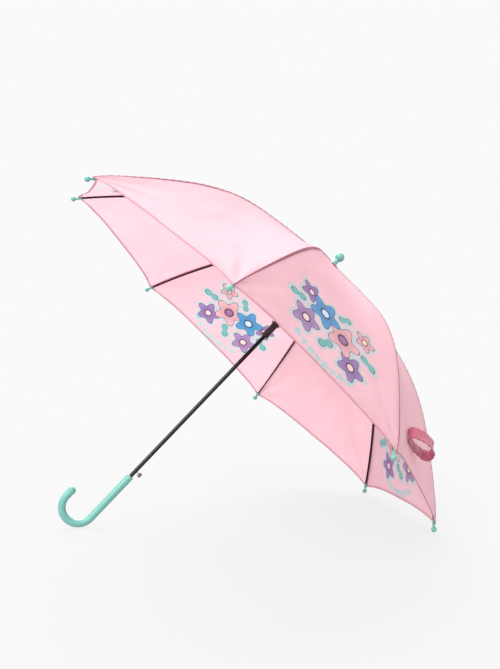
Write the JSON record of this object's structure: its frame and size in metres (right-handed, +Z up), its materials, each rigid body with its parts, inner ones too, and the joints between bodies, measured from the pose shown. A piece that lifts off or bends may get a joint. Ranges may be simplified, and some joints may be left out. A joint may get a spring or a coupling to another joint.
{
  "type": "children's stick umbrella",
  "caption": "Open stick umbrella for a child: flat-gored dome canopy on folding channel ribs, sliding runner, press-button release and a crook handle.",
  "frame": {"origin": "the middle of the umbrella's box on the ground plane it lies on, resting on two rib tips and the crook's bend", "axes": "+Z up; +X the way the shaft leans, towards the ferrule; the shaft lies in the XZ plane, about 45 degrees up; +Y away from the side with the closing strap"},
  "size_m": [0.6114, 0.806, 0.5727],
  "materials": {
    "canopy_cloth": "matte",
    "strap_ribbon": "matte",
    "mint_plastic": "gloss",
    "black_rib_steel": "satin",
    "black_shaft": "gloss",
    "black_plastic": "satin",
    "bare_steel": "satin",
    "button_plastic": "satin",
    "bright_steel": "polished"
  },
  "bodies": {
    "root": {"shaft_tube": "black_shaft", "handle_crook": "mint_plastic", "ferrule": "mint_plastic", "top_notch": "black_plastic", "notch_wire": "bare_steel", "canopy_rosette": "canopy_cloth", "opening_spring": "bare_steel"},
    "rib_1": {"rib_1": "black_rib_steel", "rib_joint_1": "bare_steel", "rib_tip_1": "mint_plastic"},
    "stretcher_1": {"stretcher_1": "black_rib_steel"},
    "rib_2": {"rib_2": "black_rib_steel", "rib_joint_2": "bare_steel", "rib_tip_2": "mint_plastic"},
    "stretcher_2": {"stretcher_2": "black_rib_steel"},
    "rib_3": {"rib_3": "black_rib_steel", "rib_joint_3": "bare_steel", "rib_tip_3": "mint_plastic"},
    "stretcher_3": {"stretcher_3": "black_rib_steel"},
    "rib_4": {"rib_4": "black_rib_steel", "rib_joint_4": "bare_steel", "rib_tip_4": "mint_plastic"},
    "stretcher_4": {"stretcher_4": "black_rib_steel"},
    "rib_5": {"rib_5": "black_rib_steel", "rib_joint_5": "bare_steel", "rib_tip_5": "mint_plastic"},
    "stretcher_5": {"stretcher_5": "black_rib_steel"},
    "rib_6": {"rib_6": "black_rib_steel", "rib_joint_6": "bare_steel", "rib_tip_6": "mint_plastic"},
    "stretcher_6": {"stretcher_6": "black_rib_steel"},
    "rib_7": {"rib_7": "black_rib_steel", "rib_joint_7": "bare_steel", "rib_tip_7": "mint_plastic"},
    "stretcher_7": {"stretcher_7": "black_rib_steel"},
    "rib_8": {"rib_8": "black_rib_steel", "rib_joint_8": "bare_steel", "rib_tip_8": "mint_plastic"},
    "stretcher_8": {"stretcher_8": "black_rib_steel"},
    "runner": {"runner": "black_plastic", "runner_wire": "bare_steel"},
    "pleat_1_left": {"panel_1_left": "canopy_cloth"},
    "pleat_1_right": {"panel_1_right": "canopy_cloth"},
    "pleat_2_left": {"panel_2_left": "canopy_cloth"},
    "pleat_2_right": {"panel_2_right": "canopy_cloth"},
    "pleat_3_left": {"panel_3_left": "canopy_cloth", "closing_strap": "strap_ribbon"},
    "pleat_3_right": {"panel_3_right": "canopy_cloth"},
    "pleat_4_left": {"panel_4_left": "canopy_cloth"},
    "pleat_4_right": {"panel_4_right": "canopy_cloth"},
    "pleat_5_left": {"panel_5_left": "canopy_cloth"},
    "pleat_5_right": {"panel_5_right": "canopy_cloth"},
    "pleat_6_left": {"panel_6_left": "canopy_cloth"},
    "pleat_6_right": {"panel_6_right": "canopy_cloth"},
    "pleat_7_left": {"panel_7_left": "canopy_cloth"},
    "pleat_7_right": {"panel_7_right": "canopy_cloth"},
    "pleat_8_left": {"panel_8_left": "canopy_cloth"},
    "pleat_8_right": {"panel_8_right": "canopy_cloth"},
    "button": {"release_button": "button_plastic", "button_stem": "bright_steel"}
  },
  "joints": [
    {"name": "canopy_fold", "type": "hinge", "parent": "root", "child": "rib_1", "pos_m": [0.16653, -0.00306, 0.44768], "axis": [0.272, -0.9239, -0.2691], "range_deg": [0, 58], "stiffness_Nm_per_rad": 0.16, "springref_deg": -85.94, "deforming": ["panel_1_left", "panel_1_right", "panel_2_left", "panel_2_right", "panel_3_left", "panel_3_right", "panel_4_left", "panel_4_right", "panel_5_left", "panel_5_right", "panel_6_left", "panel_6_right", "panel_7_left", "panel_7_right", "panel_8_left", "panel_8_right", "closing_strap"]},
    {"name": "stretcher_1_swing", "type": "hinge", "parent": "rib_1", "child": "stretcher_1", "pos_m": [-0.01982, -0.08672, 0.54648], "axis": [0.272, -0.9239, -0.2691], "range_deg": [-116, 0]},
    {"name": "rib_2_fold", "type": "hinge", "parent": "root", "child": "rib_2", "pos_m": [0.16961, -0.00739, 0.44463], "axis": [0.6568, -0.3827, -0.6498], "range_deg": [0, 58], "stiffness_Nm_per_rad": 0.16, "springref_deg": -85.94},
    {"name": "stretcher_2_swing", "type": "hinge", "parent": "rib_2", "child": "stretcher_2", "pos_m": [0.06736, -0.20935, 0.46023], "axis": [0.6568, -0.3827, -0.6498], "range_deg": [-116, 0]},
    {"name": "rib_3_fold", "type": "hinge", "parent": "root", "child": "rib_3", "pos_m": [0.17396, -0.00739, 0.44033], "axis": [0.6568, 0.3827, -0.6498], "range_deg": [0, 58], "stiffness_Nm_per_rad": 0.16, "springref_deg": -85.94},
    {"name": "stretcher_3_swing", "type": "hinge", "parent": "rib_3", "child": "stretcher_3", "pos_m": [0.19065, -0.20935, 0.33825], "axis": [0.6568, 0.3827, -0.6498], "range_deg": [-116, 0]},
    {"name": "rib_4_fold", "type": "hinge", "parent": "root", "child": "rib_4", "pos_m": [0.17704, -0.00306, 0.43728], "axis": [0.272, 0.9239, -0.2691], "range_deg": [0, 58], "stiffness_Nm_per_rad": 0.16, "springref_deg": -85.94},
    {"name": "stretcher_4_swing", "type": "hinge", "parent": "rib_4", "child": "stretcher_4", "pos_m": [0.27783, -0.08672, 0.252], "axis": [0.272, 0.9239, -0.2691], "range_deg": [-116, 0]},
    {"name": "rib_5_fold", "type": "hinge", "parent": "root", "child": "rib_5", "pos_m": [0.17704, 0.00306, 0.43728], "axis": [-0.272, 0.9239, 0.2691], "range_deg": [0, 58], "stiffness_Nm_per_rad": 0.16, "springref_deg": -85.94},
    {"name": "stretcher_5_swing", "type": "hinge", "parent": "rib_5", "child": "stretcher_5", "pos_m": [0.27783, 0.08672, 0.252], "axis": [-0.272, 0.9239, 0.2691], "range_deg": [-116, 0]},
    {"name": "rib_6_fold", "type": "hinge", "parent": "root", "child": "rib_6", "pos_m": [0.17396, 0.00739, 0.44033], "axis": [-0.6568, 0.3827, 0.6498], "range_deg": [0, 58], "stiffness_Nm_per_rad": 0.16, "springref_deg": -85.94},
    {"name": "stretcher_6_swing", "type": "hinge", "parent": "rib_6", "child": "stretcher_6", "pos_m": [0.19065, 0.20935, 0.33825], "axis": [-0.6568, 0.3827, 0.6498], "range_deg": [-116, 0]},
    {"name": "rib_7_fold", "type": "hinge", "parent": "root", "child": "rib_7", "pos_m": [0.16961, 0.00739, 0.44463], "axis": [-0.6568, -0.3827, 0.6498], "range_deg": [0, 58], "stiffness_Nm_per_rad": 0.16, "springref_deg": -85.94},
    {"name": "stretcher_7_swing", "type": "hinge", "parent": "rib_7", "child": "stretcher_7", "pos_m": [0.06736, 0.20935, 0.46023], "axis": [-0.6568, -0.3827, 0.6498], "range_deg": [-116, 0]},
    {"name": "rib_8_fold", "type": "hinge", "parent": "root", "child": "rib_8", "pos_m": [0.16653, 0.00306, 0.44768], "axis": [-0.272, -0.9239, 0.2691], "range_deg": [0, 58], "stiffness_Nm_per_rad": 0.16, "springref_deg": -85.94},
    {"name": "stretcher_8_swing", "type": "hinge", "parent": "rib_8", "child": "stretcher_8", "pos_m": [-0.01982, 0.08672, 0.54648], "axis": [-0.272, -0.9239, 0.2691], "range_deg": [-116, 0]},
    {"name": "runner_travel", "type": "hinge", "parent": "stretcher_1", "child": "runner", "pos_m": [0.08097, -0.00306, 0.3612], "axis": [0.272, -0.9239, -0.2691], "range_deg": [0, 58]},
    {"name": "pleat_1_left_fold", "type": "hinge", "parent": "rib_1", "child": "pleat_1_left", "pos_m": [0.16696, -0.00453, 0.44725], "axis": [0.0096, 0.8424, -0.5388], "range_deg": [0, 22.61]},
    {"name": "pleat_1_right_fold", "type": "hinge", "parent": "rib_2", "child": "pleat_1_right", "pos_m": [0.16856, -0.00678, 0.44567], "axis": [-0.3342, -0.3858, 0.8599], "range_deg": [0, 22.61]},
    {"name": "pleat_2_left_fold", "type": "hinge", "parent": "rib_2", "child": "pleat_2_left", "pos_m": [0.17065, -0.008, 0.4436], "axis": [-0.4941, 0.8684, -0.0404], "range_deg": [0, 22.61]},
    {"name": "pleat_2_right_fold", "type": "hinge", "parent": "rib_3", "child": "pleat_2_right", "pos_m": [0.17291, -0.008, 0.44136], "axis": [0.0351, -0.8684, 0.4945], "range_deg": [0, 22.61]},
    {"name": "pleat_3_left_fold", "type": "hinge", "parent": "rib_3", "child": "pleat_3_left", "pos_m": [0.175, -0.00678, 0.43929], "axis": [-0.8635, 0.3858, 0.325], "range_deg": [0, 22.61]},
    {"name": "pleat_3_right_fold", "type": "hinge", "parent": "rib_4", "child": "pleat_3_right", "pos_m": [0.1766, -0.00453, 0.43771], "axis": [0.5389, -0.8424, -0.0039], "range_deg": [0, 22.61]},
    {"name": "pleat_4_left_fold", "type": "hinge", "parent": "rib_4", "child": "pleat_4_left", "pos_m": [0.17747, -0.00159, 0.43685], "axis": [-0.882, -0.3228, 0.3433], "range_deg": [0, 22.61]},
    {"name": "pleat_4_right_fold", "type": "hinge", "parent": "rib_5", "child": "pleat_4_right", "pos_m": [0.17747, 0.00159, 0.43685], "axis": [0.882, -0.3228, -0.3433], "range_deg": [0, 22.61]},
    {"name": "pleat_5_left_fold", "type": "hinge", "parent": "rib_5", "child": "pleat_5_left", "pos_m": [0.1766, 0.00453, 0.43771], "axis": [-0.5389, -0.8424, 0.0039], "range_deg": [0, 22.61]},
    {"name": "pleat_5_right_fold", "type": "hinge", "parent": "rib_6", "child": "pleat_5_right", "pos_m": [0.175, 0.00678, 0.43929], "axis": [0.8635, 0.3858, -0.325], "range_deg": [0, 22.61]},
    {"name": "pleat_6_left_fold", "type": "hinge", "parent": "rib_6", "child": "pleat_6_left", "pos_m": [0.17291, 0.008, 0.44136], "axis": [-0.0351, -0.8684, -0.4945], "range_deg": [0, 22.61]},
    {"name": "pleat_6_right_fold", "type": "hinge", "parent": "rib_7", "child": "pleat_6_right", "pos_m": [0.17065, 0.008, 0.4436], "axis": [0.4941, 0.8684, 0.0404], "range_deg": [0, 22.61]},
    {"name": "pleat_7_left_fold", "type": "hinge", "parent": "rib_7", "child": "pleat_7_left", "pos_m": [0.16856, 0.00678, 0.44567], "axis": [0.3342, -0.3858, -0.8599], "range_deg": [0, 22.61]},
    {"name": "pleat_7_right_fold", "type": "hinge", "parent": "rib_8", "child": "pleat_7_right", "pos_m": [0.16696, 0.00453, 0.44725], "axis": [-0.0096, 0.8424, 0.5388], "range_deg": [0, 22.61]},
    {"name": "pleat_8_left_fold", "type": "hinge", "parent": "rib_8", "child": "pleat_8_left", "pos_m": [0.16609, 0.00159, 0.44811], "axis": [0.3527, 0.3228, -0.8783], "range_deg": [0, 22.61]},
    {"name": "pleat_8_right_fold", "type": "hinge", "parent": "rib_1", "child": "pleat_8_right", "pos_m": [0.16609, -0.00159, 0.44811], "axis": [-0.3527, 0.3228, 0.8783], "range_deg": [0, 22.61]},
    {"name": "button_press", "type": "slide", "parent": "root", "child": "button", "axis": [-0.7109, 0, 0.7033], "range_m": [0, 0.003], "stiffness_N_per_m": 300, "springref_m": -0.002}
  ],
  "couplings": [
    {"joint": "stretcher_1_swing", "follows": "canopy_fold", "ratio": -2},
    {"joint": "rib_2_fold", "follows": "canopy_fold", "ratio": 1},
    {"joint": "stretcher_2_swing", "follows": "canopy_fold", "ratio": -2},
    {"joint": "rib_3_fold", "follows": "canopy_fold", "ratio": 1},
    {"joint": "stretcher_3_swing", "follows": "canopy_fold", "ratio": -2},
    {"joint": "rib_4_fold", "follows": "canopy_fold", "ratio": 1},
    {"joint": "stretcher_4_swing", "follows": "canopy_fold", "ratio": -2},
    {"joint": "rib_5_fold", "follows": "canopy_fold", "ratio": 1},
    {"joint": "stretcher_5_swing", "follows": "canopy_fold", "ratio": -2},
    {"joint": "rib_6_fold", "follows": "canopy_fold", "ratio": 1},
    {"joint": "stretcher_6_swing", "follows": "canopy_fold", "ratio": -2},
    {"joint": "rib_7_fold", "follows": "canopy_fold", "ratio": 1},
    {"joint": "stretcher_7_swing", "follows": "canopy_fold", "ratio": -2},
    {"joint": "rib_8_fold", "follows": "canopy_fold", "ratio": 1},
    {"joint": "stretcher_8_swing", "follows": "canopy_fold", "ratio": -2},
    {"joint": "runner_travel", "follows": "canopy_fold", "ratio": 1},
    {"joint": "pleat_1_left_fold", "follows": "canopy_fold", "ratio": 0.38982},
    {"joint": "pleat_1_right_fold", "follows": "canopy_fold", "ratio": 0.38982},
    {"joint": "pleat_2_left_fold", "follows": "canopy_fold", "ratio": 0.38982},
    {"joint": "pleat_2_right_fold", "follows": "canopy_fold", "ratio": 0.38982},
    {"joint": "pleat_3_left_fold", "follows": "canopy_fold", "ratio": 0.38982},
    {"joint": "pleat_3_right_fold", "follows": "canopy_fold", "ratio": 0.38982},
    {"joint": "pleat_4_left_fold", "follows": "canopy_fold", "ratio": 0.38982},
    {"joint": "pleat_4_right_fold", "follows": "canopy_fold", "ratio": 0.38982},
    {"joint": "pleat_5_left_fold", "follows": "canopy_fold", "ratio": 0.38982},
    {"joint": "pleat_5_right_fold", "follows": "canopy_fold", "ratio": 0.38982},
    {"joint": "pleat_6_left_fold", "follows": "canopy_fold", "ratio": 0.38982},
    {"joint": "pleat_6_right_fold", "follows": "canopy_fold", "ratio": 0.38982},
    {"joint": "pleat_7_left_fold", "follows": "canopy_fold", "ratio": 0.38982},
    {"joint": "pleat_7_right_fold", "follows": "canopy_fold", "ratio": 0.38982},
    {"joint": "pleat_8_left_fold", "follows": "canopy_fold", "ratio": 0.38982},
    {"joint": "pleat_8_right_fold", "follows": "canopy_fold", "ratio": 0.38982}
  ]
}
